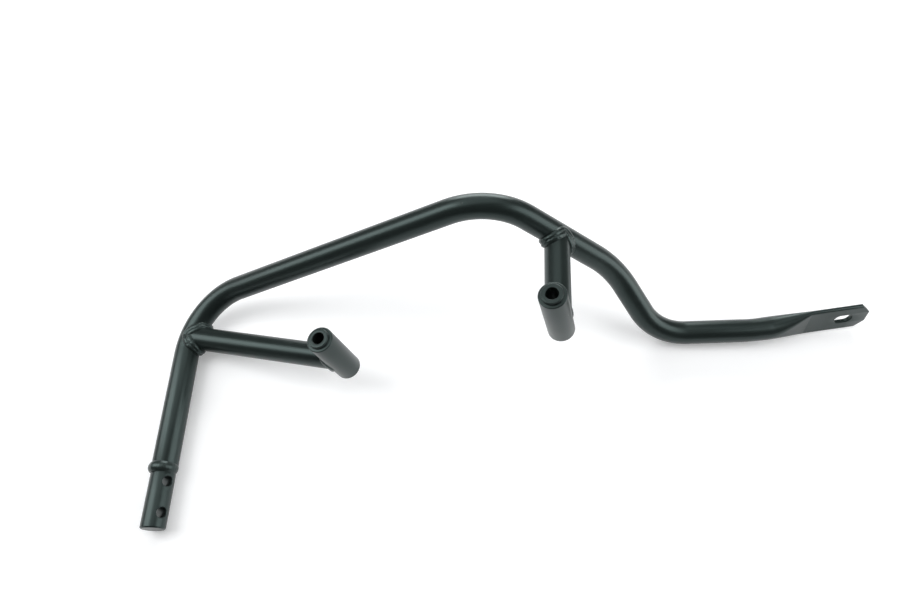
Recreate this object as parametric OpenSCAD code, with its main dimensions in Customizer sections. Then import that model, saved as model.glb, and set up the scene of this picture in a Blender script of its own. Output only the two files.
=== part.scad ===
// Saddlebag mounting bracket of a motorbike, welded from round steel tube.
// A bent main tube carries a solid turned spigot at its near end, a pressed
// and slotted tongue at its far end, and two arms that each end in a bolt boss.
// It lies as on a bench: +Z is up, the bench is z = 0, the leg runs along Y,
// and the origin is on the bench, under the middle of the whole bracket.

/* [Tube] */
// Outside diameter of the main tube
tube_d = 22.2; // [20:0.1:25.4]
// Outside diameter of both arms, a touch under the main tube
arm_d = 22; // [18:0.1:22.1]
// Wall of the main tube and of the arms
tube_wall = 2.1; // [1.6:0.1:3]

/* [Route of the main tube] */
// Leg: distance to the left of the middle
leg_x = 320; // [300:0.5:340]
// Leg: where the tube is cut off at the spigot, in front of the middle
leg_end_y = 71.5; // [50:0.5:90]
// Knee, the corner after the leg: distance behind the middle
knee_y = 91.5; // [80:0.5:110]
// Crown, the highest corner: distance to the left of the middle
crown_x = 36.5; // [10:0.5:60]
// Crown: distance behind the middle
crown_y = 113.5; // [100:0.5:130]
// Crown: height of the corner over the bench
crown_z = 155.5; // [130:0.5:180]
// Shoulder, the corner on the way down: distance to the right of the middle
shoulder_x = 80; // [70:0.5:90]
// Shoulder: distance behind the middle
shoulder_y = 97; // [90:0.5:106]
// Shoulder: height of the corner over the bench
shoulder_z = 69; // [60:0.5:78]
// Heel, the corner back on the bench: distance to the right of the middle
heel_x = 129; // [122:0.5:140]
// Heel: distance behind the middle
heel_y = 56.5; // [50:0.5:64]
// Kick, the slight corner before the tongue: distance to the right of the middle
kick_x = 222.5; // [200:0.5:240]
// Kick: distance behind the middle
kick_y = 58.5; // [54:0.5:66]
// Rise of the centre line from the heel to the kick
kick_rise = 2.5; // [1:0.5:8]
// Tip of the tongue: distance to the right of the kick
tail_x = 110; // [105:0.5:160]
// Tip: distance behind the middle
tip_y = 72.5; // [66:0.5:84]
// Tip: height of the tongue's centre line over the bench
tip_z = 19; // [18:0.5:40]

/* [Bend radii] */
// Centre line radius of the knee bend
knee_r = 58; // [50:1:64]
// Centre line radius of the crown bend
crown_r = 63; // [54:1:80]
// Centre line radius of the shoulder bend
shoulder_r = 107; // [80:1:120]
// Centre line radius of the heel bend
heel_r = 54; // [48:1:62]
// Centre line radius of the kick bend
kick_r = 200; // [120:5:220]

/* [Tongue] */
// Thickness of the tube where it is pressed flat
tongue_t = 4.4; // [4.2:0.1:6]
// Length of the flat, from its tip back
tongue_l = 58; // [48:1:60]
// Length over which the round tube is pressed down to the flat
press_l = 39; // [30:1:39]
// Lean of the flat: how far its face looks up from level, in degrees
tongue_lean = 13; // [0:1:30]
// Corner cut off the tongue, along it
clip_l = 9; // [4:0.5:12]
// Corner cut off the tongue, across it
clip_w = 9.5; // [4:0.5:12]
// Width of the slot
slot_w = 10.4; // [8.4:0.1:12]
// Length of the slot, end to end
slot_l = 17; // [13:0.5:24]
// Middle of the slot, back from the tip
slot_inset = 23.5; // [20:0.5:30]

/* [Spigot] */
// Outside diameter of the turned spigot
spigot_d = 20.8; // [18.6:0.1:21.4]
// Length of the spigot that stands out of the tube
spigot_l = 51; // [44:0.5:64]
// Length of the reduced plug inside the tube
plug_l = 25; // [15:1:40]
// Gap all round between the plug and the bore of the tube
plug_gap = 0.1; // [0.05:0.05:0.3]
// Chamfer on the end of the spigot
spigot_chamfer = 1; // [0.4:0.1:2]
// Depth of the groove turned at its root, which the ring weld fills
weld_groove_h = 1.5; // [0.5:0.1:2.5]
// Diameter of the two cross holes
cross_hole_d = 8.4; // [6.2:0.1:9.4]
// Outer cross hole, from the end of the spigot
cross_hole_inset = 12.5; // [10:0.5:14]
// Distance between the two cross holes
cross_hole_pitch = 26; // [22:0.5:28]
// Turn of the cross holes up from level, in degrees
cross_hole_turn = 40; // [0:5:90]

/* [Arms] */
// Front arm: how far round the knee bend its root sits, in degrees
front_arm_turn = 16.4; // [12:0.2:24]
// Front arm: from the axis of the main tube to the axis of its boss
front_arm_l = 159.5; // [120:0.5:200]
// Front arm: swing towards the front, seen along the bosses, in degrees
front_arm_swing = 13.8; // [5:0.2:20]
// Rear arm: distance of its root from the crown corner
rear_arm_place = 74.5; // [68:0.5:86]
// Rear arm: from the axis of the main tube to the axis of its boss
rear_arm_l = 80; // [60:0.5:110]
// Rear arm: swing towards the front, seen along the bosses, in degrees
rear_arm_swing = 93.5; // [85:0.5:100]

// Gap between an arm's saddle and the tube or boss it is welded to
saddle_gap = 0.1; // [0.1:0.05:0.3]

/* [Bosses] */
// Lean of both bosses from upright, towards the left, in degrees
boss_lean = 14.6; // [10:0.2:18]
// Outside diameter of the bosses
boss_d = 23; // [22.4:0.1:26]
// Length of a boss, without its nose
boss_l = 63; // [50:0.5:80]
// From the arm's axis to the shoulder under the nose
boss_reach = 41; // [30:0.5:50]
// Bolt bore through the boss
boss_bore_d = 10.3; // [8.4:0.1:12.4]
// Diameter of the nose that stands on the boss
nose_d = 17.6; // [15:0.1:20]
// Height of the nose
nose_h = 3; // [1:0.1:5]
// Chamfer on the ends of the boss
boss_chamfer = 0.8; // [0.3:0.1:1.5]

/* [Welds] */
// How far the ring weld at the spigot stands out, on average
ring_proud = 1.5; // [1.2:0.1:2]
// How far the ring weld sits off centre, fat side up and to the left
ring_shift = 0.9; // [0.1:0.1:1]
// Width of the ring weld
ring_w = 9; // [6:0.5:12]
// Reach of the bead from the seam, where an arm meets the main tube
root_bead = 4.6; // [3:0.1:5.5]
// Reach of the bead from the seam, where an arm meets its boss
boss_bead = 3; // [2:0.1:4]
// How far a bead's back bulges, as a share of its reach
bead_back = 0.3; // [0.2:0.05:0.5]
// Length of one ripple along a bead
ripple_l = 3.2; // [2.6:0.1:6]
// Depth of the ripples
ripple_h = 0.5; // [0.1:0.1:0.8]

/* [Hidden] */
$fn = 96;
paint = [0.2, 0.22, 0.21];
bead_paint = [0.26, 0.28, 0.27];
tube_bore = tube_d - 2 * tube_wall;
arm_bore = arm_d - 2 * tube_wall;
// A cutter reaches this far past what it cuts
past = 1;

// The fat side of the ring weld looks up and to the left
ring_way = [-0.8, 0, 0.6];
ring_under = ring_proud - ring_shift * ring_way[2];
// The ring weld rests on the bench at one end of the leg, the knee at the other
leg_end_z = tube_d / 2 + ring_under;
heel_sink = 0.6;

corner = [
    [-leg_x, -leg_end_y, leg_end_z],
    [-leg_x, knee_y, tube_d / 2],
    [-crown_x, crown_y, crown_z],
    [shoulder_x, shoulder_y, shoulder_z],
    [heel_x, heel_y, tube_d / 2 - heel_sink],
    [kick_x, kick_y, tube_d / 2 - heel_sink + kick_rise],
    [kick_x + tail_x, tip_y, tip_z],
];
bend_r = [0, knee_r, crown_r, shoulder_r, heel_r, kick_r, 0];
KNEE = 1;
CROWN = 2;
SHOULDER = 3;
HEEL = 4;
KICK = 5;
TIP = 6;

// Bending draws the tube in by this much all round. A straight laps a little way
// into its bends, and tapers there to as much under them.
bend_draw = 0.05;
bend_lap = 0.6;
bent_d = tube_d - 2 * bend_draw;
// The pressed length stands this much over the flat, and runs out into it
press_ease = 0.03;

function unit(v) = v / norm(v);
function across(v, way) = unit(v - (v * way) * way);

// The way the centre line runs into corner i, and out of it
function way_in(i) = unit(corner[i] - corner[i - 1]);
function way_out(i) = way_in(i + 1);
function bend_angle(i) = acos(way_in(i) * way_out(i));
function bend_run(i) = bend_r[i] * tan(bend_angle(i) / 2);
function bend_start(i) = corner[i] - way_in(i) * bend_run(i);
function bend_end(i) = corner[i] + way_out(i) * bend_run(i);
// The way from the centre line to the centre of the bend
function bend_side(i) = across(way_out(i), way_in(i));
function bend_centre(i) = bend_start(i) + bend_side(i) * bend_r[i];
function on_bend(i, turn) = bend_centre(i)
    + bend_r[i] * (sin(turn) * way_in(i) - cos(turn) * bend_side(i));
function along_bend(i, turn) = cos(turn) * way_in(i) + sin(turn) * bend_side(i);

// The tongue's own directions: along it, across it, and out of its face
tongue_way = way_in(TIP);
tongue_level = unit(cross([0, 0, 1], tongue_way));
tongue_up = cross(tongue_way, tongue_level);
tongue_face = tongue_up * sin(tongue_lean) - tongue_level * cos(tongue_lean);
tongue_side = cross(tongue_face, tongue_way);
// Pressing a tube flat keeps its girth
tongue_w = tongue_t + PI * (bent_d - tongue_t) / 2;
press_start = corner[TIP] - tongue_way * (tongue_l + press_l);
press_end = corner[TIP] - tongue_way * tongue_l;

// The bosses' axis, and the two directions square to it
boss_way = [-sin(boss_lean), 0, cos(boss_lean)];
boss_level = [cos(boss_lean), 0, sin(boss_lean)];
function arm_way(swing) = cos(swing) * boss_level - sin(swing) * [0, 1, 0];

front_root = on_bend(KNEE, front_arm_turn);
front_tube_way = along_bend(KNEE, front_arm_turn);
front_arm_way = arm_way(front_arm_swing);
front_boss_at = front_root + front_arm_way * front_arm_l;
rear_root = corner[CROWN] + way_out(CROWN) * rear_arm_place;
rear_tube_way = way_out(CROWN);
rear_arm_way = arm_way(rear_arm_swing);
rear_boss_at = rear_root + rear_arm_way * rear_arm_l;

spigot_way = -way_in(KNEE);
// The groove at the spigot's root runs a little past the ring weld
groove_past = 0.2;
weld_groove_l = ring_w / 2 + ring_shift + groove_past;
spigot_end = corner[0] + spigot_way * spigot_l;
cross_hole_way = across([cos(cross_hole_turn), 0, sin(cross_hole_turn)], spigot_way);

// Puts a shape's own X, Y and Z along the directions x, y and z, from point at
module placed(at, x, y, z) {
    multmatrix([
        [x[0], y[0], z[0], at[0]],
        [x[1], y[1], z[1], at[1]],
        [x[2], y[2], z[2], at[2]],
    ])
        children();
}

// Stands a shape's Z along way, from point at
module stood(at, way) {
    side = abs(way[2]) < 0.9 ? across([0, 0, 1], way) : across([1, 0, 0], way);
    placed(at, side, cross(way, side), way) children();
}

module rod(from, to, d) {
    stood(from, unit(to - from)) cylinder(d = d, h = norm(to - from));
}

module bend(i, d) {
    placed(bend_centre(i), -bend_side(i), way_in(i), cross(way_in(i), bend_side(i)))
        rotate_extrude(angle = bend_angle(i))
            translate([bend_r[i], 0])
                circle(d = d - 2 * bend_draw);
}

// A straight between two bends, both of its ends tapered into them
module straight(from, to, d) {
    way = unit(to - from);
    run = norm(to - from) + 2 * bend_lap;
    stood(from - way * bend_lap, way)
        rotate_extrude()
            polygon([
                [0, 0],
                [d / 2 - 2 * bend_draw, 0],
                [d / 2, bend_lap],
                [d / 2, run - bend_lap],
                [d / 2 - 2 * bend_draw, run],
                [0, run],
            ]);
}

// The bent tube's whole outside or bore, from point start to the press
module route(d, start) {
    straight(start + bend_lap * way_in(KNEE), bend_start(KNEE), d);
    for (i = [KNEE:KICK])
        bend(i, d);
    for (i = [KNEE:HEEL])
        straight(bend_end(i), bend_start(i + 1), d);
    straight(bend_end(KICK), press_start, d);
}

// What cuts an arm's saddle: the main tube near its root, with the gap all round
module front_saddle() {
    rod(bend_start(KNEE) - way_in(KNEE) * tube_d, bend_start(KNEE), bent_d + 2 * saddle_gap);
    bend(KNEE, tube_d + 2 * saddle_gap);
}

module rear_saddle() {
    rod(bend_end(CROWN), bend_start(SHOULDER), tube_d + 2 * saddle_gap);
}

// One ring of the press, t along it from 0 to 1: a flat run with two half round
// ends, whose radius is more or less than the tube's by proud
PRESS_SIDES = 48;
PRESS_RINGS = 12;
function press_share(t) = t * t * (3 - 2 * t);
function press_r(t) = (bent_d * (1 - press_share(t)) + tongue_t * press_share(t)) / 2;
function press_flat(t) = PI * (bent_d / 2 - press_r(t));
function press_ring(t, proud, shift = 0) = [
    for (k = [0:PRESS_SIDES - 1])
        let (turn = (k + 0.5) * 360 / PRESS_SIDES, r = press_r(t) + proud)
            press_start + tongue_way * (press_l * t + shift)
            + tongue_side * (r * cos(turn) + sign(cos(turn)) * press_flat(t) / 2)
            + tongue_face * r * sin(turn)
];
press_outside = [
    for (i = [0:PRESS_RINGS + 1])
        i <= PRESS_RINGS
            ? press_ring(i / PRESS_RINGS, press_ease)
            : press_ring(1, -press_ease, bend_lap)
];
press_bore = [for (i = [0:PRESS_RINGS - 1]) press_ring(i / PRESS_RINGS, press_ease - tube_wall)];

// Joins rings of equal length into one closed solid
module skin(rings, ends) {
    n = len(rings[0]);
    m = len(rings);
    sides = [
        for (i = [0:m - (ends ? 2 : 1)])
            for (k = [0:n - 1])
                for (half = [0, 1])
                    let (
                        a = i * n + k,
                        b = i * n + (k + 1) % n,
                        c = ((i + 1) % m) * n + (k + 1) % n,
                        d = ((i + 1) % m) * n + k
                    )
                        half == 0 ? [a, c, b] : [a, d, c]
    ];
    caps = ends ? [[for (k = [0:n - 1]) k], [for (k = [n - 1:-1:0]) (m - 1) * n + k]] : [];
    polyhedron([for (ring = rings) for (p = ring) p], concat(sides, caps), convexity = 6);
}

module tongue_blank() {
    flat = tongue_w - tongue_t;
    difference() {
        placed(press_end, tongue_way, tongue_side, tongue_face) {
            translate([0, -flat / 2, -tongue_t / 2])
                cube([tongue_l, flat, tongue_t]);
            for (edge = [-1, 1])
                translate([0, edge * flat / 2, 0])
                    rotate([0, 90, 0])
                        cylinder(d = tongue_t, h = tongue_l);
        }
        for (edge = [-1, 1])
            placed(corner[TIP], tongue_way, edge * tongue_side, edge * tongue_face)
                translate([0, tongue_w / 2 - clip_w, -tongue_t])
                    linear_extrude(2 * tongue_t)
                        polygon([
                            [clip_l / 2, -clip_w / 2],
                            [clip_l / 2, 3 * clip_w / 2],
                            [-3 * clip_l / 2, 3 * clip_w / 2],
                        ]);
    }
}

module tongue_slot() {
    half = (slot_l - slot_w) / 2;
    placed(corner[TIP] - tongue_way * slot_inset, tongue_way, tongue_side, tongue_face) {
        for (end = [-1, 1])
            translate([end * half, 0, -tongue_t])
                cylinder(d = slot_w, h = 2 * tongue_t);
        translate([-half, -slot_w / 2, -tongue_t])
            cube([2 * half, slot_w, 2 * tongue_t]);
    }
}

module main_tube() {
    color(paint)
        difference() {
            union() {
                route(tube_d, corner[0]);
                skin(press_outside, true);
                tongue_blank();
            }
            route(tube_bore, corner[0] + spigot_way * past);
            skin(press_bore, true);
            tongue_slot();
        }
}

// The spigot as it comes off the lathe
module spigot_turning() {
    plug_r = tube_bore / 2 - plug_gap;
    r = spigot_d / 2;
    stood(corner[0], spigot_way)
        rotate_extrude()
            polygon([
                [0, -plug_l],
                [plug_r, -plug_l],
                [plug_r, 0],
                [r - weld_groove_h, 0],
                [r, weld_groove_l],
                [r, spigot_l - spigot_chamfer],
                [r - spigot_chamfer, spigot_l],
                [0, spigot_l],
            ]);
}

module spigot() {
    color(paint)
        difference() {
            spigot_turning();
            for (i = [0, 1])
                stood(spigot_end - spigot_way * (cross_hole_inset + i * cross_hole_pitch), cross_hole_way)
                    cylinder(d = cross_hole_d, h = 2 * spigot_d, center = true);
        }
}

// The ring of weld over the joint, thicker on one side
module spigot_weld() {
    bulge = ring_proud + (tube_d - spigot_d) / 2;
    crest_r = (pow(ring_w / 2, 2) + pow(bulge, 2)) / (2 * bulge);
    root_r = spigot_d / 2 - weld_groove_h - ring_shift - plug_gap;
    color(bead_paint)
        difference() {
            stood(corner[0] + ring_way * ring_shift, spigot_way)
                rotate_extrude()
                    intersection() {
                        translate([tube_d / 2 + ring_proud - crest_r, 0])
                            circle(r = crest_r);
                        translate([root_r, -ring_w])
                            square([2 * ring_w, 2 * ring_w]);
                    }
            rod(corner[0] - spigot_way * ring_w, corner[0], tube_d);
            spigot_turning();
        }
}

module arm(root, way, length) {
    difference() {
        rod(root, root + way * length, arm_d);
        rod(root, root + way * length, arm_bore);
        stood(root + way * length, boss_way)
            cylinder(d = boss_d + 2 * saddle_gap, h = 2 * arm_d, center = true);
        children();
    }
}

// A turned boss: plain below, with a chamfered nose on its upper end
module boss(at) {
    r = boss_d / 2;
    c = boss_chamfer;
    color(paint)
        stood(at + boss_way * boss_reach, boss_way)
            rotate_extrude()
                polygon([
                    [boss_bore_d / 2, -boss_l],
                    [r - c, -boss_l],
                    [r, c - boss_l],
                    [r, -c],
                    [r - c, 0],
                    [nose_d / 2, 0],
                    [nose_d / 2, nose_h - c],
                    [nose_d / 2 - c, nose_h],
                    [boss_bore_d / 2, nose_h],
                ]);
}

// A carrier is what an arm is welded to: its kind, a point on its axis, the
// way of its axis there, and its radius
on_knee = ["bend", front_root, front_tube_way, tube_d / 2];
on_run = ["straight", rear_root, rear_tube_way, tube_d / 2];
on_front_boss = ["straight", front_boss_at, boss_way, boss_d / 2];
on_rear_boss = ["straight", rear_boss_at, boss_way, boss_d / 2];

// The point of a carrier's axis that is nearest to p
function line_foot(at, way, p) = at + ((p - at) * way) * way;
function knee_foot(p) =
    (p - bend_start(KNEE)) * way_in(KNEE) < 0
        ? line_foot(bend_start(KNEE), way_in(KNEE), p)
        : bend_centre(KNEE)
            + bend_r[KNEE] * across(p - bend_centre(KNEE), cross(way_in(KNEE), bend_side(KNEE)));
function foot(on, p) = on[0] == "bend" ? knee_foot(p) : line_foot(on[1], on[2], p);

// Halves the stretch from lo to hi until the line leaves the carrier there
function leaves(on, from, way, lo, hi, steps) =
    let (mid = (lo + hi) / 2, p = from + way * mid)
        steps == 0 ? p
        : norm(p - foot(on, p)) < on[3] ? leaves(on, from, way, mid, hi, steps - 1)
        : leaves(on, from, way, lo, mid, steps - 1);

// Where an arm's skin leaves the carrier, at an angle round the arm
function arm_out(on, way, turn) =
    let (e = across(on[2], way))
        e * cos(turn) + cross(way, e) * sin(turn);
function seam(on, way, turn) =
    leaves(on, on[1] + arm_d / 2 * arm_out(on, way, turn), way, 0, 2 * on[3], 16);

// One section of a bead: its root, its toe on the arm, its back, and its toe
// on the carrier. A bead of two passes has a valley along its back.
BEAD_BACK = 7;
BEAD_LIFT = 0.12;
SEAM_STEP = 2;
function lifted(q, foot_at, r) = foot_at + (r + BEAD_LIFT) * unit(q - foot_at);
function bead_section(on, way, turn, leg, back, passes) =
    let (
        p = seam(on, way, turn),
        run = unit(seam(on, way, turn + SEAM_STEP) - seam(on, way, turn - SEAM_STEP)),
        arm_side = arm_out(on, way, turn),
        base_side = unit(p - foot(on, p)),
        a = cross(arm_side, run),
        up = a * way > 0 ? a : -a,
        b = cross(base_side, run),
        off = b * (arm_side - way) > 0 ? b : -b,
        on_arm = [for (s = [0.5, 1]) let (q = p + up * leg * s) lifted(q, line_foot(on[1], way, q), arm_d / 2)],
        on_base = [for (s = [0.5, 1]) let (q = p + off * leg * s) lifted(q, foot(on, q), on[3])],
        out = across(arm_side + base_side, run)
    )
        concat(
            [p + out * 2 * BEAD_LIFT, on_arm[0]],
            [
                for (k = [0:BEAD_BACK + 1])
                    let (
                        u = k / (BEAD_BACK + 1),
                        ridge = passes == 2 ? 0.6 * sin(180 * u) + 0.4 * abs(sin(360 * u)) : sin(180 * u)
                    )
                        on_arm[1] * (1 - u) + on_base[1] * u + out * back * ridge
            ],
            [on_base[0]]
        );

// A rippled bead all round the seam, its ripples one section high and one low
module bead(on, way, leg, passes) {
    rings = 2 * ceil(1.1 * PI * arm_d / ripple_l);
    skin([
        for (i = [0:rings - 1])
            bead_section(on, way, i * 360 / rings, leg, bead_back * leg - (i % 2) * ripple_h, passes)
    ], false);
}

module front_arm() {
    color(paint)
        arm(front_root, front_arm_way, front_arm_l)
            front_saddle();
}

module front_boss() {
    boss(front_boss_at);
}

module front_root_weld() {
    color(bead_paint)
        bead(on_knee, front_arm_way, root_bead, 2);
}

module front_boss_weld() {
    color(bead_paint)
        bead(on_front_boss, -front_arm_way, boss_bead, 1);
}

module rear_arm() {
    color(paint)
        arm(rear_root, rear_arm_way, rear_arm_l)
            rear_saddle();
}

module rear_boss() {
    boss(rear_boss_at);
}

module rear_root_weld() {
    color(bead_paint)
        bead(on_run, rear_arm_way, root_bead, 2);
}

module rear_boss_weld() {
    color(bead_paint)
        bead(on_rear_boss, -rear_arm_way, boss_bead, 1);
}

main_tube();
spigot();
spigot_weld();
front_arm();
front_boss();
front_root_weld();
front_boss_weld();
rear_arm();
rear_boss();
rear_root_weld();
rear_boss_weld();
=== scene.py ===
"""Looks of a saddlebag mounting bracket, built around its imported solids.

Lengths are in millimetres and become metres where a mesh is made. The route, the
tongue, the spigot, the arms and the bosses repeat the sizes of the solids.
"""
import math

import bmesh
import bpy
import numpy as np
from mathutils import Matrix, Vector


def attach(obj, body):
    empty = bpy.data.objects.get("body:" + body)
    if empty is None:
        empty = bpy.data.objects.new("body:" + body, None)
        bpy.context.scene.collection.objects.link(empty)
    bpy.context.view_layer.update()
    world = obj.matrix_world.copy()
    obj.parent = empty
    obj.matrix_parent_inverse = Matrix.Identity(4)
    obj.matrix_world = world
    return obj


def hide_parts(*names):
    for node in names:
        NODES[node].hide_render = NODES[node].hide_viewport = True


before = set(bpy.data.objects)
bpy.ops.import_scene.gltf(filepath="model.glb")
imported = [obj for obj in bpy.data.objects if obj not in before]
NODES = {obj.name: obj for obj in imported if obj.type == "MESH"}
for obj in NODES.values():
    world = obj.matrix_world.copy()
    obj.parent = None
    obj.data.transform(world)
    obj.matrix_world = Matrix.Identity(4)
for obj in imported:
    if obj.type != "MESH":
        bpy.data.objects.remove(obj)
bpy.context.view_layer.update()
MM = 0.001

# Sizes of the tube and its route
TUBE_D = 22.2
TUBE_WALL = 2.1
BEND_DRAW = 0.05
ARM_D = 22.0
RING_PROUD = 1.5
RING_SHIFT = 0.9
RING_W = 9.0
RING_WAY = np.array([-0.8, 0.0, 0.6])
HEEL_Z = TUBE_D / 2 - 0.6
CORNERS = np.array([
    [-320.0, -71.5, TUBE_D / 2 + RING_PROUD - RING_SHIFT * RING_WAY[2]],
    [-320.0, 91.5, TUBE_D / 2],
    [-36.5, 113.5, 155.5],
    [80.0, 97.0, 69.0],
    [129.0, 56.5, HEEL_Z],
    [222.5, 58.5, HEEL_Z + 2.5],
    [332.5, 72.5, 19.0],
])
BEND_R = [0.0, 58.0, 63.0, 107.0, 54.0, 200.0, 0.0]
KNEE, CROWN, SHOULDER, HEEL, KICK, TIP = range(1, 7)

# Sizes of the tongue; the press is the length over which the round tube goes flat
TONGUE_T = 4.4
TONGUE_L = 58.0
PRESS_L = 39.0
TONGUE_LEAN = 13.0
CLIP_L, CLIP_W = 9.0, 9.5
SLOT_W, SLOT_L, SLOT_INSET = 10.4, 17.0, 23.5
SLOT_FLARE = 0.5
EDGE_BREAK = 0.35

# Sizes of the spigot
SPIGOT_D = 20.8
SPIGOT_L = 51.0
PLUG_L = 25.0
PLUG_D = 17.8
GROOVE_L = 5.6
GROOVE_STEP = 1.0
HOLE_D, HOLE_INSET, HOLE_PITCH, HOLE_TURN = 8.4, 12.5, 26.0, 40.0
RIM_BREAK = 0.7

# Sizes of the arms and bosses
FRONT_TURN, FRONT_L, FRONT_SWING = 16.4, 159.5, 13.8
REAR_PLACE, REAR_L, REAR_SWING = 74.5, 80.0, 93.5
BOSS_LEAN, BOSS_D, BOSS_L, BOSS_REACH = 14.6, 23.0, 63.0, 41.0
BORE_D, NOSE_D, NOSE_H = 10.3, 17.6, 3.0

# Sizes of the welds: how far a bead reaches along each side, and how far it stands out
ROOT_LEG, ROOT_BACK = 5.2, 1.5
BOSS_LEG, BOSS_BACK = 3.2, 0.9
# Where a gas bubble left a small hollow in the knee's bead
BLOWHOLE_AT = (-315.3, 41.9, 24.4)
BLOWHOLE_R, BLOWHOLE_DEPTH = 0.9, 0.8


# Directions and the route
def unit(v):
    v = np.asarray(v, float)
    return v / np.linalg.norm(v, axis=-1, keepdims=True)


def across(v, way):
    v = np.asarray(v, float)
    return unit(v - (v * way).sum(-1, keepdims=True) * way)


def cos_sin(degrees):
    return math.cos(math.radians(degrees)), math.sin(math.radians(degrees))


def way_in(i):
    return unit(CORNERS[i] - CORNERS[i - 1])


def way_out(i):
    return way_in(i + 1)


def bend_angle(i):
    return math.acos(float(way_in(i) @ way_out(i)))


def bend_run(i):
    return BEND_R[i] * math.tan(bend_angle(i) / 2)


def bend_start(i):
    return CORNERS[i] - way_in(i) * bend_run(i)


def bend_end(i):
    return CORNERS[i] + way_out(i) * bend_run(i)


def bend_side(i):
    return across(way_out(i), way_in(i))


def bend_centre(i):
    return bend_start(i) + bend_side(i) * BEND_R[i]


def on_bend(i, turn):
    return bend_centre(i) + BEND_R[i] * (math.sin(turn) * way_in(i) - math.cos(turn) * bend_side(i))


def along_bend(i, turn):
    return math.cos(turn) * way_in(i) + math.sin(turn) * bend_side(i)


TONGUE_WAY = way_in(TIP)
TONGUE_LEVEL = unit(np.cross([0, 0, 1], TONGUE_WAY))
LEAN_COS, LEAN_SIN = cos_sin(TONGUE_LEAN)
TONGUE_FACE = np.cross(TONGUE_WAY, TONGUE_LEVEL) * LEAN_SIN - TONGUE_LEVEL * LEAN_COS
TONGUE_SIDE = np.cross(TONGUE_FACE, TONGUE_WAY)
TONGUE_W = TONGUE_T + math.pi * (TUBE_D - 2 * BEND_DRAW - TONGUE_T) / 2
PRESS_START = CORNERS[TIP] - TONGUE_WAY * (TONGUE_L + PRESS_L)
PRESS_END = CORNERS[TIP] - TONGUE_WAY * TONGUE_L

LEAN = cos_sin(BOSS_LEAN)
BOSS_WAY = np.array([-LEAN[1], 0.0, LEAN[0]])
BOSS_LEVEL = np.array([LEAN[0], 0.0, LEAN[1]])


def arm_way(swing):
    c, s = cos_sin(swing)
    return c * BOSS_LEVEL - s * np.array([0.0, 1.0, 0.0])


FRONT_ROOT = on_bend(KNEE, math.radians(FRONT_TURN))
FRONT_WAY = arm_way(FRONT_SWING)
FRONT_BOSS = FRONT_ROOT + FRONT_WAY * FRONT_L
REAR_ROOT = CORNERS[CROWN] + way_out(CROWN) * REAR_PLACE
REAR_WAY = arm_way(REAR_SWING)
REAR_BOSS = REAR_ROOT + REAR_WAY * REAR_L
SPIGOT_WAY = -way_in(KNEE)
SPIGOT_END = CORNERS[0] + SPIGOT_WAY * SPIGOT_L
HOLE_C, HOLE_S = cos_sin(HOLE_TURN)
HOLE_WAY = across(np.array([HOLE_C, 0.0, HOLE_S]), SPIGOT_WAY)


# Materials
# Paint: how it shines, and the scales of its broad tone, haze, dust specks and peel
PAINT_IOR = 1.46
PAINT_TINT = (0.76, 1.0, 0.97, 1.0)
TONE_SCALE, HAZE_SCALE, DUST_SCALE, PEEL_SCALE = 11.0, 45.0, 1400.0, 700.0
TONE_FROM, TONE_TO = 0.2, 0.8
HAZE_SPREAD = 0.03
PEEL_STRENGTH = 0.15
DUST_COLOUR = (0.09, 0.10, 0.095, 1)
DUST_MOST, DUST_FROM, DUST_TO = 0.3, 0.74, 0.84
# Small marks knocked into the paint: a point on the skin, and its radius
MARK_COLOUR = (0.045, 0.05, 0.047, 1)
MARK_DEPTH = 0.25
MARK_CORE = 0.4
MARKS = [
    ((-59.8, 108.6, 153.1), 1.1),
    ((23.2, 18.8, 128.8), 0.9),
    ((-57.0, 107.6, 152.0), 0.6),
]


def material(name):
    mat = bpy.data.materials.new(name)
    mat.use_nodes = True
    mat.node_tree.nodes.clear()
    return mat, mat.node_tree


def node(tree, kind, **values):
    made = tree.nodes.new(kind)
    for key, value in values.items():
        if key in made.inputs:
            made.inputs[key].default_value = value
        else:
            setattr(made, key, value)
    return made


def between(tree, fac, low, high, from_low=0.0, from_high=1.0):
    """A number that goes from low to high as fac does from from_low to from_high."""
    span = node(tree, "ShaderNodeMapRange")
    for name, value in (("From Min", from_low), ("From Max", from_high), ("To Min", low), ("To Max", high)):
        span.inputs[name].default_value = value
    tree.links.new(fac, span.inputs["Value"])
    return span.outputs["Result"]


def blot(tree, where, at, size):
    """1 in a small spot round the point at, 0 outside it."""
    far = node(tree, "ShaderNodeVectorMath", operation="DISTANCE")
    far.inputs[1].default_value = Vector(at) * MM
    tree.links.new(where, far.inputs[0])
    return between(tree, far.outputs["Value"], 1.0, 0.0, MARK_CORE * size * MM, size * MM)


def colours(sockets):
    return [socket for socket in sockets if socket.type == "RGBA"]


def blend(tree, share, under, over):
    """The colour under goes over to the fixed colour over by share."""
    mix = node(tree, "ShaderNodeMix", data_type="RGBA")
    ins = colours(mix.inputs)
    ins[1].default_value = over
    tree.links.new(share, mix.inputs["Factor"])
    tree.links.new(under, ins[0])
    return colours(mix.outputs)[0]


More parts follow.
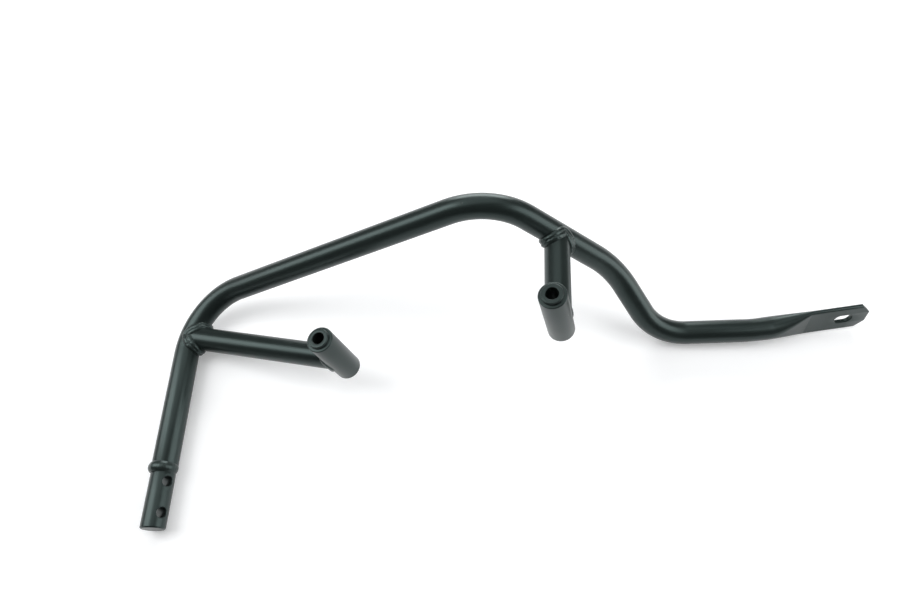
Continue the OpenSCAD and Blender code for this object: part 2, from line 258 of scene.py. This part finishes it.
def paint_material(name, dark, light, rough, peel_depth):
    mat, tree = material(name)
    link = tree.links.new
    out = node(tree, "ShaderNodeOutputMaterial")
    skin = node(tree, "ShaderNodeBsdfPrincipled")
    skin.inputs["IOR"].default_value = PAINT_IOR
    skin.inputs["Specular Tint"].default_value = PAINT_TINT
    where = node(tree, "ShaderNodeTexCoord").outputs["Object"]
    broad = node(tree, "ShaderNodeTexNoise", Scale=TONE_SCALE, Detail=4.0)
    haze = node(tree, "ShaderNodeTexNoise", Scale=HAZE_SCALE, Detail=1.0)
    specks = node(tree, "ShaderNodeTexNoise", Scale=DUST_SCALE, Detail=1.0)
    peel = node(tree, "ShaderNodeTexNoise", Scale=PEEL_SCALE, Detail=2.0)
    for tex in (broad, haze, specks, peel):
        link(where, tex.inputs["Vector"])
    tone = node(tree, "ShaderNodeValToRGB")
    ramp = tone.color_ramp
    ramp.interpolation = "EASE"
    for end, place, colour in zip(ramp.elements, (TONE_FROM, TONE_TO), (dark, light)):
        end.position = place
        end.color = (*colour, 1)
    link(broad.outputs["Fac"], tone.inputs["Fac"])
    # Dust lies in fine pale specks
    dust = between(tree, specks.outputs["Fac"], 0.0, DUST_MOST, DUST_FROM, DUST_TO)
    colour = blend(tree, dust, tone.outputs["Color"], DUST_COLOUR)
    # Each bump adds to the one before it, and the peel comes last
    bump = node(tree, "ShaderNodeBump", Strength=PEEL_STRENGTH, Distance=peel_depth)
    link(peel.outputs["Fac"], bump.inputs["Height"])
    link(bump.outputs["Normal"], skin.inputs["Normal"])
    last = bump
    for at, size in MARKS:
        spot = blot(tree, where, at, size)
        colour = blend(tree, spot, colour, MARK_COLOUR)
        dent = node(tree, "ShaderNodeBump", Strength=1.0, Distance=MARK_DEPTH * MM)
        dent.invert = True
        link(spot, dent.inputs["Height"])
        link(dent.outputs["Normal"], last.inputs["Normal"])
        last = dent
    link(colour, skin.inputs["Base Color"])
    sheen = between(tree, haze.outputs["Fac"], rough - HAZE_SPREAD, rough + HAZE_SPREAD, 0.1, 0.9)
    link(sheen, skin.inputs["Roughness"])
    link(skin.outputs["BSDF"], out.inputs["Surface"])
    return mat


PAINT = paint_material(
    "satin_paint", dark=(0.0100, 0.0140, 0.0132), light=(0.0130, 0.0180, 0.0170),
    rough=0.33, peel_depth=0.00002,
)
BEAD = paint_material(
    "painted_weld", dark=(0.0125, 0.0170, 0.0160), light=(0.0180, 0.0240, 0.0225),
    rough=0.31, peel_depth=0.00005,
)
for name, obj in NODES.items():
    obj.data.materials.clear()
    obj.data.materials.append(BEAD if name.endswith("weld") else PAINT)


# Meshes
SHARP = math.radians(34)
BEVEL_FROM = math.radians(40)


def grid_faces(rows, columns, closed):
    """Quads between rows of points, each row closed on itself, and the rows too if closed."""
    faces = []
    for i in range(rows if closed else rows - 1):
        a, b = i * columns, (i + 1) % rows * columns
        for k in range(columns):
            n = (k + 1) % columns
            faces.append((a + k, a + n, b + n, b + k))
    return faces


def mesh_object(name, points, faces):
    mesh = bpy.data.meshes.new(name)
    mesh.from_pydata((np.asarray(points) * MM).tolist(), [], faces)
    shape = bmesh.new()
    shape.from_mesh(mesh)
    bmesh.ops.recalc_face_normals(shape, faces=shape.faces)
    shape.to_mesh(mesh)
    shape.free()
    obj = bpy.data.objects.new(name, mesh)
    bpy.context.scene.collection.objects.link(obj)
    return obj


def ring_object(name, rings, closed=False):
    """A closed skin over rings of points; without closed its two ends are flat caps."""
    rings = np.asarray(rings)
    rows, columns = rings.shape[:2]
    faces = grid_faces(rows, columns, closed)
    if not closed:
        faces.append(tuple(range(columns - 1, -1, -1)))
        faces.append(tuple((rows - 1) * columns + k for k in range(columns)))
    return mesh_object(name, rings.reshape(-1, 3), faces)


def turned(at, way, profile, sides=144):
    """Rings of a turning about way, from the radii and heights of its profile."""
    e = across([0, 0, 1] if abs(way[2]) < 0.9 else [1, 0, 0], way)
    f = np.cross(way, e)
    turn = np.linspace(0, 2 * math.pi, sides, endpoint=False)[:, None]
    out = np.cos(turn) * e + np.sin(turn) * f
    return [at + way * h + r * out for r, h in profile]


def rounded(corners, steps=5):
    """A profile whose corners, each with a radius, are rounded off."""
    done = []
    for i, (x, y, r) in enumerate(corners):
        p = np.array([x, y])
        if r == 0:
            done.append(p)
            continue
        a = np.array(corners[i - 1][:2])
        b = np.array(corners[(i + 1) % len(corners)][:2])
        u, v = unit(a - p), unit(b - p)
        half = math.acos(float(u @ v)) / 2
        reach = r / math.tan(half)
        middle = p + unit(u + v) * r / math.sin(half)
        s, e = p + u * reach - middle, p + v * reach - middle
        for t in np.linspace(0, 1, steps + 1):
            done.append(middle + r * unit(s * (1 - t) + e * t))
    return done


def cut(obj, cutters, bevel=0.0):
    """Takes the cutters out of obj, and breaks the edges that this leaves."""
    for cutter in cutters:
        mod = obj.modifiers.new("cut", "BOOLEAN")
        mod.operation, mod.solver, mod.object = "DIFFERENCE", "EXACT", cutter
    if bevel:
        mod = obj.modifiers.new("edge", "BEVEL")
        mod.width, mod.segments, mod.limit_method = bevel * MM, 2, "ANGLE"
        mod.angle_limit = BEVEL_FROM
    bpy.context.view_layer.update()
    whole = obj.evaluated_get(bpy.context.evaluated_depsgraph_get())
    mesh = bpy.data.meshes.new_from_object(whole)
    obj.modifiers.clear()
    obj.data = mesh
    for cutter in cutters:
        bpy.data.objects.remove(cutter)


def finish_piece(obj, stands_for, mat):
    obj.data.materials.clear()
    obj.data.materials.append(mat)
    obj.data.shade_smooth()
    obj.data.set_sharp_from_angle(angle=SHARP)
    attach(obj, "root")
    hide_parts(stands_for)


# Main tube
TUBE_SIDES = 96
RING_STEP = 2.0
OVAL = 0.012
PRESS_RINGS = 41


def stadium(r, flat):
    """Points evenly spaced round two half circles of radius r with a flat between them."""
    girth = 2 * math.pi * r + 2 * flat
    s = (np.arange(TUBE_SIDES) + 0.5) * girth / TUBE_SIDES
    quarter = math.pi * r / 2
    x, y = np.empty(TUBE_SIDES), np.empty(TUBE_SIDES)
    for k, d in enumerate(s):
        upper = d < girth / 2
        d = d if upper else girth - d
        if d < quarter:
            x[k], y[k] = flat / 2 + r * math.cos(d / r), r * math.sin(d / r)
        elif d < quarter + flat:
            x[k], y[k] = flat / 2 - (d - quarter), r
        else:
            turn = (d - quarter - flat) / r + math.pi / 2
            x[k], y[k] = -flat / 2 + r * math.cos(turn), r * math.sin(turn)
        if not upper:
            y[k] = -y[k]
    return x, y


def route_stations():
    """Centre, way, bend side and how fully bent, from the spigot to the start of the press."""
    rows = [(CORNERS[0], way_in(KNEE), None, 0.0)]
    for i in range(KNEE, TIP):
        angle = bend_angle(i)
        steps = max(6, round(BEND_R[i] * angle / RING_STEP))
        for k in range(steps + 1):
            turn = angle * k / steps
            share = math.sin(math.pi * k / steps) ** 0.5
            rows.append((on_bend(i, turn), along_bend(i, turn), i, share))
    rows.append((PRESS_START, TONGUE_WAY, None, 0.0))
    return rows


def tube_rings(r, stations):
    """Round rings of radius r at the stations, drawn in and a little oval in the bends."""
    side, rings = TONGUE_SIDE, []
    turn = (np.arange(TUBE_SIDES) + 0.5) * 2 * math.pi / TUBE_SIDES
    for at, way, i, share in reversed(stations):
        side = across(side, way)
        face = np.cross(way, side)
        out = np.cos(turn)[:, None] * side + np.sin(turn)[:, None] * face
        radius = np.full(TUBE_SIDES, r)
        if i is not None:
            inward = across(bend_centre(i) - at, way)
            radius = r - BEND_DRAW * share - OVAL * r * share * (out @ inward) ** 2
        rings.append(at + radius[:, None] * out)
    return rings[::-1]


def press_share(t):
    """How far the tube is pressed, with a soft start and a crease at the flat."""
    return 0.35 * t * t * (3 - 2 * t) + 0.65 * t ** 1.8


def tongue_rings():
    """The tube pressed flat, its girth kept, and then the tongue."""
    rings = []
    r0, r1 = TUBE_D / 2 - BEND_DRAW, TONGUE_T / 2
    for t in np.linspace(0, 1, PRESS_RINGS + 1)[1:]:
        r = r0 + (r1 - r0) * press_share(t)
        x, y = stadium(r, math.pi * (r0 - r))
        at = PRESS_START + TONGUE_WAY * PRESS_L * t
        rings.append(at + x[:, None] * TONGUE_SIDE + y[:, None] * TONGUE_FACE)
    flat = rings[-1]
    for back in (TONGUE_L * 0.66, TONGUE_L * 0.33, 0.0):
        rings.append(flat + TONGUE_WAY * (TONGUE_L - back))
    return rings


def tongue_box(x, y, z, name):
    """A prism: an outline along and across the tongue, from z[0] to z[1] out of its face."""
    flat = [CORNERS[TIP] + TONGUE_WAY * a + TONGUE_SIDE * b for a, b in zip(x, y)]
    rings = [[p + TONGUE_FACE * h for p in flat] for h in z]
    return ring_object(name, rings)


def slot_cutter():
    """The slot, a little flared where it comes out of both faces."""
    half, skin = (SLOT_L - SLOT_W) / 2, TONGUE_T / 2
    turn = np.linspace(-math.pi / 2, math.pi / 2, 25)
    # Height over the middle of the tongue, and how much wider the slot is there
    upper = [(skin - 0.8, 0.0), (skin - 0.3, 0.12), (skin + 0.02, SLOT_FLARE), (2 * skin, 3 * SLOT_FLARE)]
    lower = [(-h, grow) for h, grow in reversed(upper)]
    rings = []
    for h, grow in lower + upper:
        r = SLOT_W / 2 + grow
        a = np.concatenate([half + r * np.cos(turn), -half - r * np.cos(turn)]) - SLOT_INSET
        b = np.concatenate([r * np.sin(turn), -r * np.sin(turn)])
        middle = CORNERS[TIP] + TONGUE_FACE * h
        rings.append([middle + TONGUE_WAY * p + TONGUE_SIDE * q for p, q in zip(a, b)])
    return ring_object("slot_cutter", rings)


def make_main_tube():
    stations = route_stations()
    outer = tube_rings(TUBE_D / 2, stations)
    bore = tube_rings(TUBE_D / 2 - TUBE_WALL, stations)
    obj = ring_object("tube_skin", bore[::-1] + outer + tongue_rings())
    cutters = [slot_cutter()]
    for edge in (-1, 1):
        x = np.array([CLIP_L / 2, CLIP_L / 2, -1.5 * CLIP_L])
        y = edge * (TONGUE_W / 2 - CLIP_W + np.array([-0.5, 1.5, 1.5]) * CLIP_W)
        order = [0, 1, 2] if edge > 0 else [2, 1, 0]
        cutters.append(tongue_box(x[order], y[order], (-TONGUE_T, TONGUE_T), "clip_cutter"))
    cut(obj, cutters, EDGE_BREAK)
    finish_piece(obj, "main_tube", PAINT)


# Spigot
def hole_cutter(at):
    """A cross hole whose rim is broken all round, along the spigot's round skin."""
    wide = np.cross(HOLE_WAY, SPIGOT_WAY)
    turn = np.linspace(0, 2 * math.pi, 73)[:-1]
    # Height over the spigot's skin, and how much wider the hole is there
    steps = [
        (1.6 * RIM_BREAK, 1.9 * RIM_BREAK), (0.02, RIM_BREAK),
        (-0.45 * RIM_BREAK, 0.3 * RIM_BREAK), (-1.1 * RIM_BREAK, 0.0),
    ]
    rings = []
    for end in (-1, 1):
        for lift, grow in steps if end < 0 else steps[::-1]:
            r = HOLE_D / 2 + grow
            x, y = r * np.cos(turn), r * np.sin(turn)
            h = np.sqrt((SPIGOT_D / 2) ** 2 - x ** 2) + lift
            flat = at + x[:, None] * wide + y[:, None] * SPIGOT_WAY
            rings.append(flat + (end * h)[:, None] * HOLE_WAY)
    return ring_object("hole_cutter", rings)


def make_spigot():
    r, plug = SPIGOT_D / 2, PLUG_D / 2
    profile = rounded([
        (plug, -PLUG_L, 0.0), (plug, 0.0, 0.0), (plug + 0.3, GROOVE_STEP, 0.0), (r, GROOVE_L, 0.0),
        (r, SPIGOT_L - 1.0, 0.5), (r - 0.9, SPIGOT_L, 0.4), (2.0, SPIGOT_L, 0.0),
    ])
    obj = ring_object("spigot_skin", turned(CORNERS[0], SPIGOT_WAY, profile))
    holes = [hole_cutter(SPIGOT_END - SPIGOT_WAY * (HOLE_INSET + i * HOLE_PITCH)) for i in (0, 1)]
    cut(obj, holes)
    finish_piece(obj, "spigot", PAINT)


# Bosses
def make_boss(name, at, stands_for):
    r, bore, nose = BOSS_D / 2, BORE_D / 2, NOSE_D / 2
    profile = rounded([
        (bore, -BOSS_L, 0.5), (r, -BOSS_L, 0.9), (r, 0.0, 0.9), (nose, 0.0, 0.4),
        (nose, NOSE_H, 0.8), (bore, NOSE_H, 0.5),
    ])
    rings = turned(at + BOSS_WAY * BOSS_REACH, BOSS_WAY, profile)
    finish_piece(ring_object(name, rings, closed=True), stands_for, PAINT)


# Welds
BEAD_SECTIONS, BEAD_POINTS = 420, 22
HALVINGS = 22
RIPPLE_L, RIPPLE_H = 2.9, 0.16
GRAIN_H = 0.12
PASS_SHIFT = 0.37
TOE_SUNK = 0.25
ROOT_SUNK = 0.8
RING_SECTIONS, RING_POINTS = 360, 26
RING_RIPPLE_L, RING_RIPPLE_H = 2.5, 0.12
RING_LUMP_H = 0.45
RING_SUNK = 2.0


def waves(s, length, count, seed):
    """A smooth random line over s, which closes after length."""
    draw = np.random.default_rng(seed)
    total = np.zeros_like(s)
    for k in range(1, count + 1):
        height = draw.normal() / k ** 0.6
        total += height * np.sin(2 * math.pi * k * s / length + draw.uniform(0, 2 * math.pi))
    return total / math.sqrt(count)


def line_foot(at, way, p):
    return at + ((p - at) @ way)[:, None] * way


def knee_foot(p):
    way, start, centre = way_in(KNEE), bend_start(KNEE), bend_centre(KNEE)
    normal = np.cross(way, bend_side(KNEE))
    bent = centre + BEND_R[KNEE] * across(p - centre, normal)
    return np.where(((p - start) @ way < 0)[:, None], line_foot(start, way, p), bent)


def bead_rings(foot, carrier_way, carrier_r, root, way, leg, back, passes, seed):
    """Sections of a weld bead round the seam of an arm and its carrier, with ripples and lumps."""
    turn = np.linspace(0, 2 * math.pi, BEAD_SECTIONS, endpoint=False)
    e = across(carrier_way, way)
    f = np.cross(way, e)

    def seam(turn):
        out = np.cos(turn)[:, None] * e + np.sin(turn)[:, None] * f
        lo, hi = np.zeros(len(turn)), np.full(len(turn), 2 * carrier_r)
        for _ in range(HALVINGS):
            mid = (lo + hi) / 2
            p = root + ARM_D / 2 * out + mid[:, None] * way
            inside = np.linalg.norm(p - foot(p), axis=1) < carrier_r
            lo, hi = np.where(inside, mid, lo), np.where(inside, hi, mid)
        return root + ARM_D / 2 * out + hi[:, None] * way, out

    # At each point of the seam: along it, out of both skins, up the arm and off over the carrier
    p, arm_side = seam(turn)
    run = unit(np.roll(p, -1, 0) - np.roll(p, 1, 0))
    base_side = unit(p - foot(p))
    up = np.cross(arm_side, run)
    up *= np.sign(up @ way)[:, None]
    off = np.cross(base_side, run)
    off *= np.sign((off * (arm_side - way)).sum(1))[:, None]
    out = across(arm_side + base_side, run)
    s = np.cumsum(np.linalg.norm(p - np.roll(p, 1, 0), axis=1))
    length = s[-1]
    ripples = round(length / RIPPLE_L)
    phase = s / length * ripples
    leg_arm = leg * (1 + 0.10 * waves(s, length, 9, seed))
    leg_base = leg * (1 + 0.12 * waves(s, length, 9, seed + 1))
    lump = 1 + 0.22 * waves(s, length, 14, seed + 2)

    def held(q, foot_at, r, lift):
        return foot_at + (r + lift) * unit(q - foot_at)

    def on_arm(reach, lift):
        q = p + up * reach[:, None]
        return held(q, line_foot(root, way, q), ARM_D / 2, lift)

    def on_base(reach, lift):
        q = p + off * reach[:, None]
        return held(q, foot(q), carrier_r, lift)

    toe_a, toe_b = on_arm(leg_arm, -TOE_SUNK), on_base(leg_base, -TOE_SUNK)
    rows = [p - out * ROOT_SUNK, on_arm(leg_arm * 0.5, -ROOT_SUNK)]
    for u in np.linspace(0, 1, BEAD_POINTS):
        two = 0.55 * math.sin(math.pi * u) + 0.45 * abs(math.sin(2 * math.pi * u)) ** 0.8
        ridge = two if passes == 2 else math.sin(math.pi * u) ** 0.75
        swing = (2 * abs(u - 0.5)) ** 2 if passes == 1 else (4 * abs(abs(u - 0.5) - 0.25)) ** 2
        offset = 0.0 if passes == 1 or u < 0.5 else PASS_SHIFT
        wave = np.abs(np.sin(math.pi * (phase + offset + 0.55 * swing))) ** 0.7
        window = min(1.0, 4.0 * math.sin(math.pi * u))
        rise = back * lump * ridge + RIPPLE_H * (wave - 0.6) * window
        rise += GRAIN_H * waves(s + 3.1 * BEAD_POINTS * u, length, 26, seed + 3) * window
        rise += TOE_SUNK * math.sin(math.pi * u)
        rows.append(toe_a * (1 - u) + toe_b * u + out * rise[:, None])
    rows.append(on_base(leg_base * 0.5, -ROOT_SUNK))
    rings = np.stack(rows, 1)
    flip = float(np.cross(run[0], up[0]) @ arm_side[0]) > 0
    return rings[::-1] if flip else rings


def pit(rings, at, radius, depth):
    """Presses a small hollow into the rings round the point at."""
    flat = rings.reshape(-1, 3)
    nearest = flat[np.argmin(np.linalg.norm(flat - at, axis=1))]
    middle = flat.mean(0)
    d = np.linalg.norm(flat - nearest, axis=1)
    push = depth * np.exp(-(d / radius) ** 2)[:, None]
    return (flat - unit(nearest - middle) * push).reshape(rings.shape)


def make_bead(name, stands_for, rings):
    obj = ring_object(name, rings, closed=True)
    finish_piece(obj, stands_for, BEAD)


def knee_bead():
    way = along_bend(KNEE, math.radians(FRONT_TURN))
    rings = bead_rings(
        knee_foot, way, TUBE_D / 2, FRONT_ROOT, FRONT_WAY, ROOT_LEG, ROOT_BACK, passes=2, seed=11,
    )
    return pit(rings, BLOWHOLE_AT, BLOWHOLE_R, BLOWHOLE_DEPTH)


def run_bead():
    way = way_out(CROWN)

    def foot(p):
        return line_foot(REAR_ROOT, way, p)

    return bead_rings(
        foot, way, TUBE_D / 2, REAR_ROOT, REAR_WAY, ROOT_LEG, ROOT_BACK, passes=2, seed=23,
    )


def boss_bead(at, way, seed):
    def foot(p):
        return line_foot(at, BOSS_WAY, p)

    return bead_rings(foot, BOSS_WAY, BOSS_D / 2, at, -way, BOSS_LEG, BOSS_BACK, passes=1, seed=seed)


def make_ring_weld():
    """The ring of weld over the joint of tube and spigot, fat on one side."""
    bulge = RING_PROUD + (TUBE_D - SPIGOT_D) / 2
    crest_r = ((RING_W / 2) ** 2 + bulge ** 2) / (2 * bulge)
    at = CORNERS[0] + RING_WAY * RING_SHIFT
    e = across(RING_WAY, SPIGOT_WAY)
    f = np.cross(SPIGOT_WAY, e)
    turn = np.linspace(0, 2 * math.pi, RING_SECTIONS, endpoint=False)
    out = np.cos(turn)[:, None] * e + np.sin(turn)[:, None] * f
    s = turn * TUBE_D / 2
    length = math.pi * TUBE_D
    ripples = round(length / RING_RIPPLE_L)
    root = SPIGOT_D / 2 - RING_SHIFT - RING_SUNK
    rows = [at + SPIGOT_WAY * h + root * out for h in (RING_W / 2, -RING_W / 2)]
    edge = 0.2 * waves(s, length, 8, seed=41)
    for u in np.linspace(0, 1, RING_POINTS):
        h = RING_W * (u - 0.5)
        base = TUBE_D / 2 + RING_PROUD - crest_r + math.sqrt(crest_r ** 2 - h ** 2)
        window = math.sin(math.pi * u)
        wave = np.abs(np.sin(math.pi * (s / length * ripples + 0.5 * (2 * u - 1) ** 2))) ** 0.8
        r = base - RING_RIPPLE_H * window * (1 - wave)
        r -= RING_LUMP_H * window * np.abs(waves(s, length, 7, seed=43))
        rows.append(at + SPIGOT_WAY * (h + edge * window)[:, None] + r[:, None] * out)
    rings = np.stack(rows, 1)
    obj = ring_object("spigot_ring", rings, closed=True)
    finish_piece(obj, "spigot_weld", BEAD)


make_main_tube()
make_spigot()
make_boss("front_boss_skin", FRONT_BOSS, "front_boss")
make_boss("rear_boss_skin", REAR_BOSS, "rear_boss")
make_ring_weld()
make_bead("knee_bead", "front_root_weld", knee_bead())
make_bead("run_bead", "rear_root_weld", run_bead())
make_bead("front_boss_bead", "front_boss_weld", boss_bead(FRONT_BOSS, FRONT_WAY, 31))
make_bead("rear_boss_bead", "rear_boss_weld", boss_bead(REAR_BOSS, REAR_WAY, 37))


# Stage, in metres
FLOOR_HALF = 6.0
FLOOR_COLOUR = (0.86, 0.87, 0.88, 1)
FLOOR_GLOW = 0.24
ROOM_LIGHT = 0.03


def seen(tree):
    """1 for the camera, reflections and glass, 0 for the light that falls on the object."""
    path = node(tree, "ShaderNodeLightPath")
    total = path.outputs["Is Camera Ray"]
    for name in ("Is Glossy Ray", "Is Transmission Ray"):
        either = node(tree, "ShaderNodeMath", operation="MAXIMUM")
        tree.links.new(total, either.inputs[0])
        tree.links.new(path.outputs[name], either.inputs[1])
        total = either.outputs["Value"]
    return total


def make_floor():
    mat, tree = material("bench")
    link = tree.links.new
    out = node(tree, "ShaderNodeOutputMaterial")
    matt = node(tree, "ShaderNodeBsdfDiffuse", Color=FLOOR_COLOUR)
    glow = node(tree, "ShaderNodeEmission")
    link(between(tree, seen(tree), 0.0, FLOOR_GLOW), glow.inputs["Strength"])
    both = node(tree, "ShaderNodeAddShader")
    link(matt.outputs["BSDF"], both.inputs[0])
    link(glow.outputs["Emission"], both.inputs[1])
    link(both.outputs["Shader"], out.inputs["Surface"])
    w = FLOOR_HALF
    mesh = bpy.data.meshes.new("bench")
    mesh.from_pydata([(-w, -w, 0), (w, -w, 0), (w, w, 0), (-w, w, 0)], [], [(0, 1, 2, 3)])
    mesh.materials.append(mat)
    obj = bpy.data.objects.new("bench", mesh)
    bpy.context.scene.collection.objects.link(obj)


def area(name, toward, distance, size, power):
    """A soft light: toward is how far it stands from upright and its turn from +X, in degrees."""
    tilt, turn = (math.radians(v) for v in toward)
    way = Vector((math.sin(tilt) * math.cos(turn), math.sin(tilt) * math.sin(turn), math.cos(tilt)))
    lamp = bpy.data.lights.new(name, "AREA")
    lamp.shape = "RECTANGLE"
    lamp.size, lamp.size_y = size
    lamp.energy = power
    obj = bpy.data.objects.new(name, lamp)
    obj.location = way * distance
    obj.rotation_euler = way.to_track_quat("Z", "Y").to_euler()
    bpy.context.scene.collection.objects.link(obj)


make_floor()
world = bpy.data.worlds.new("room")
world.use_nodes = True
room = world.node_tree.nodes["Background"]
room.inputs["Color"].default_value = (1, 1, 1, 1)
room.inputs["Strength"].default_value = ROOM_LIGHT
bpy.context.scene.world = world
area("back_box", (70, 90), 1.5, (1.2, 0.6), 17)
area("right_box", (62, -6), 1.5, (1.0, 1.6), 17)
area("left_box", (50, 172), 1.5, (0.7, 1.2), 12)
area("top_sheet", (20, 120), 1.9, (2.4, 1.8), 15)

# Camera, where the photograph was taken from
PIXELS_WIDE = 900
SENSOR_MM = 36.0
FOCAL_PIXELS = 662.0
CAMERA_AT = (-0.071, -0.210, 0.5933)
CAMERA_DOWN, CAMERA_YAW = 62.44, 0.27


def make_camera():
    cam = bpy.data.cameras.new("camera")
    cam.sensor_width = SENSOR_MM
    cam.lens = FOCAL_PIXELS / PIXELS_WIDE * SENSOR_MM
    cam.clip_start = 0.01
    obj = bpy.data.objects.new("camera", cam)
    bpy.context.scene.collection.objects.link(obj)
    down_c, down_s = cos_sin(CAMERA_DOWN)
    yaw_c, yaw_s = cos_sin(CAMERA_YAW)
    ahead = Vector((yaw_s * down_c, yaw_c * down_c, -down_s))
    right = Vector((yaw_c, -yaw_s, 0.0))
    turn = Matrix((right, right.cross(ahead), -ahead)).transposed().to_4x4()
    turn.translation = Vector(CAMERA_AT)
    obj.matrix_world = turn
    bpy.context.scene.camera = obj


make_camera()
bpy.context.scene.view_settings.view_transform = "Standard"
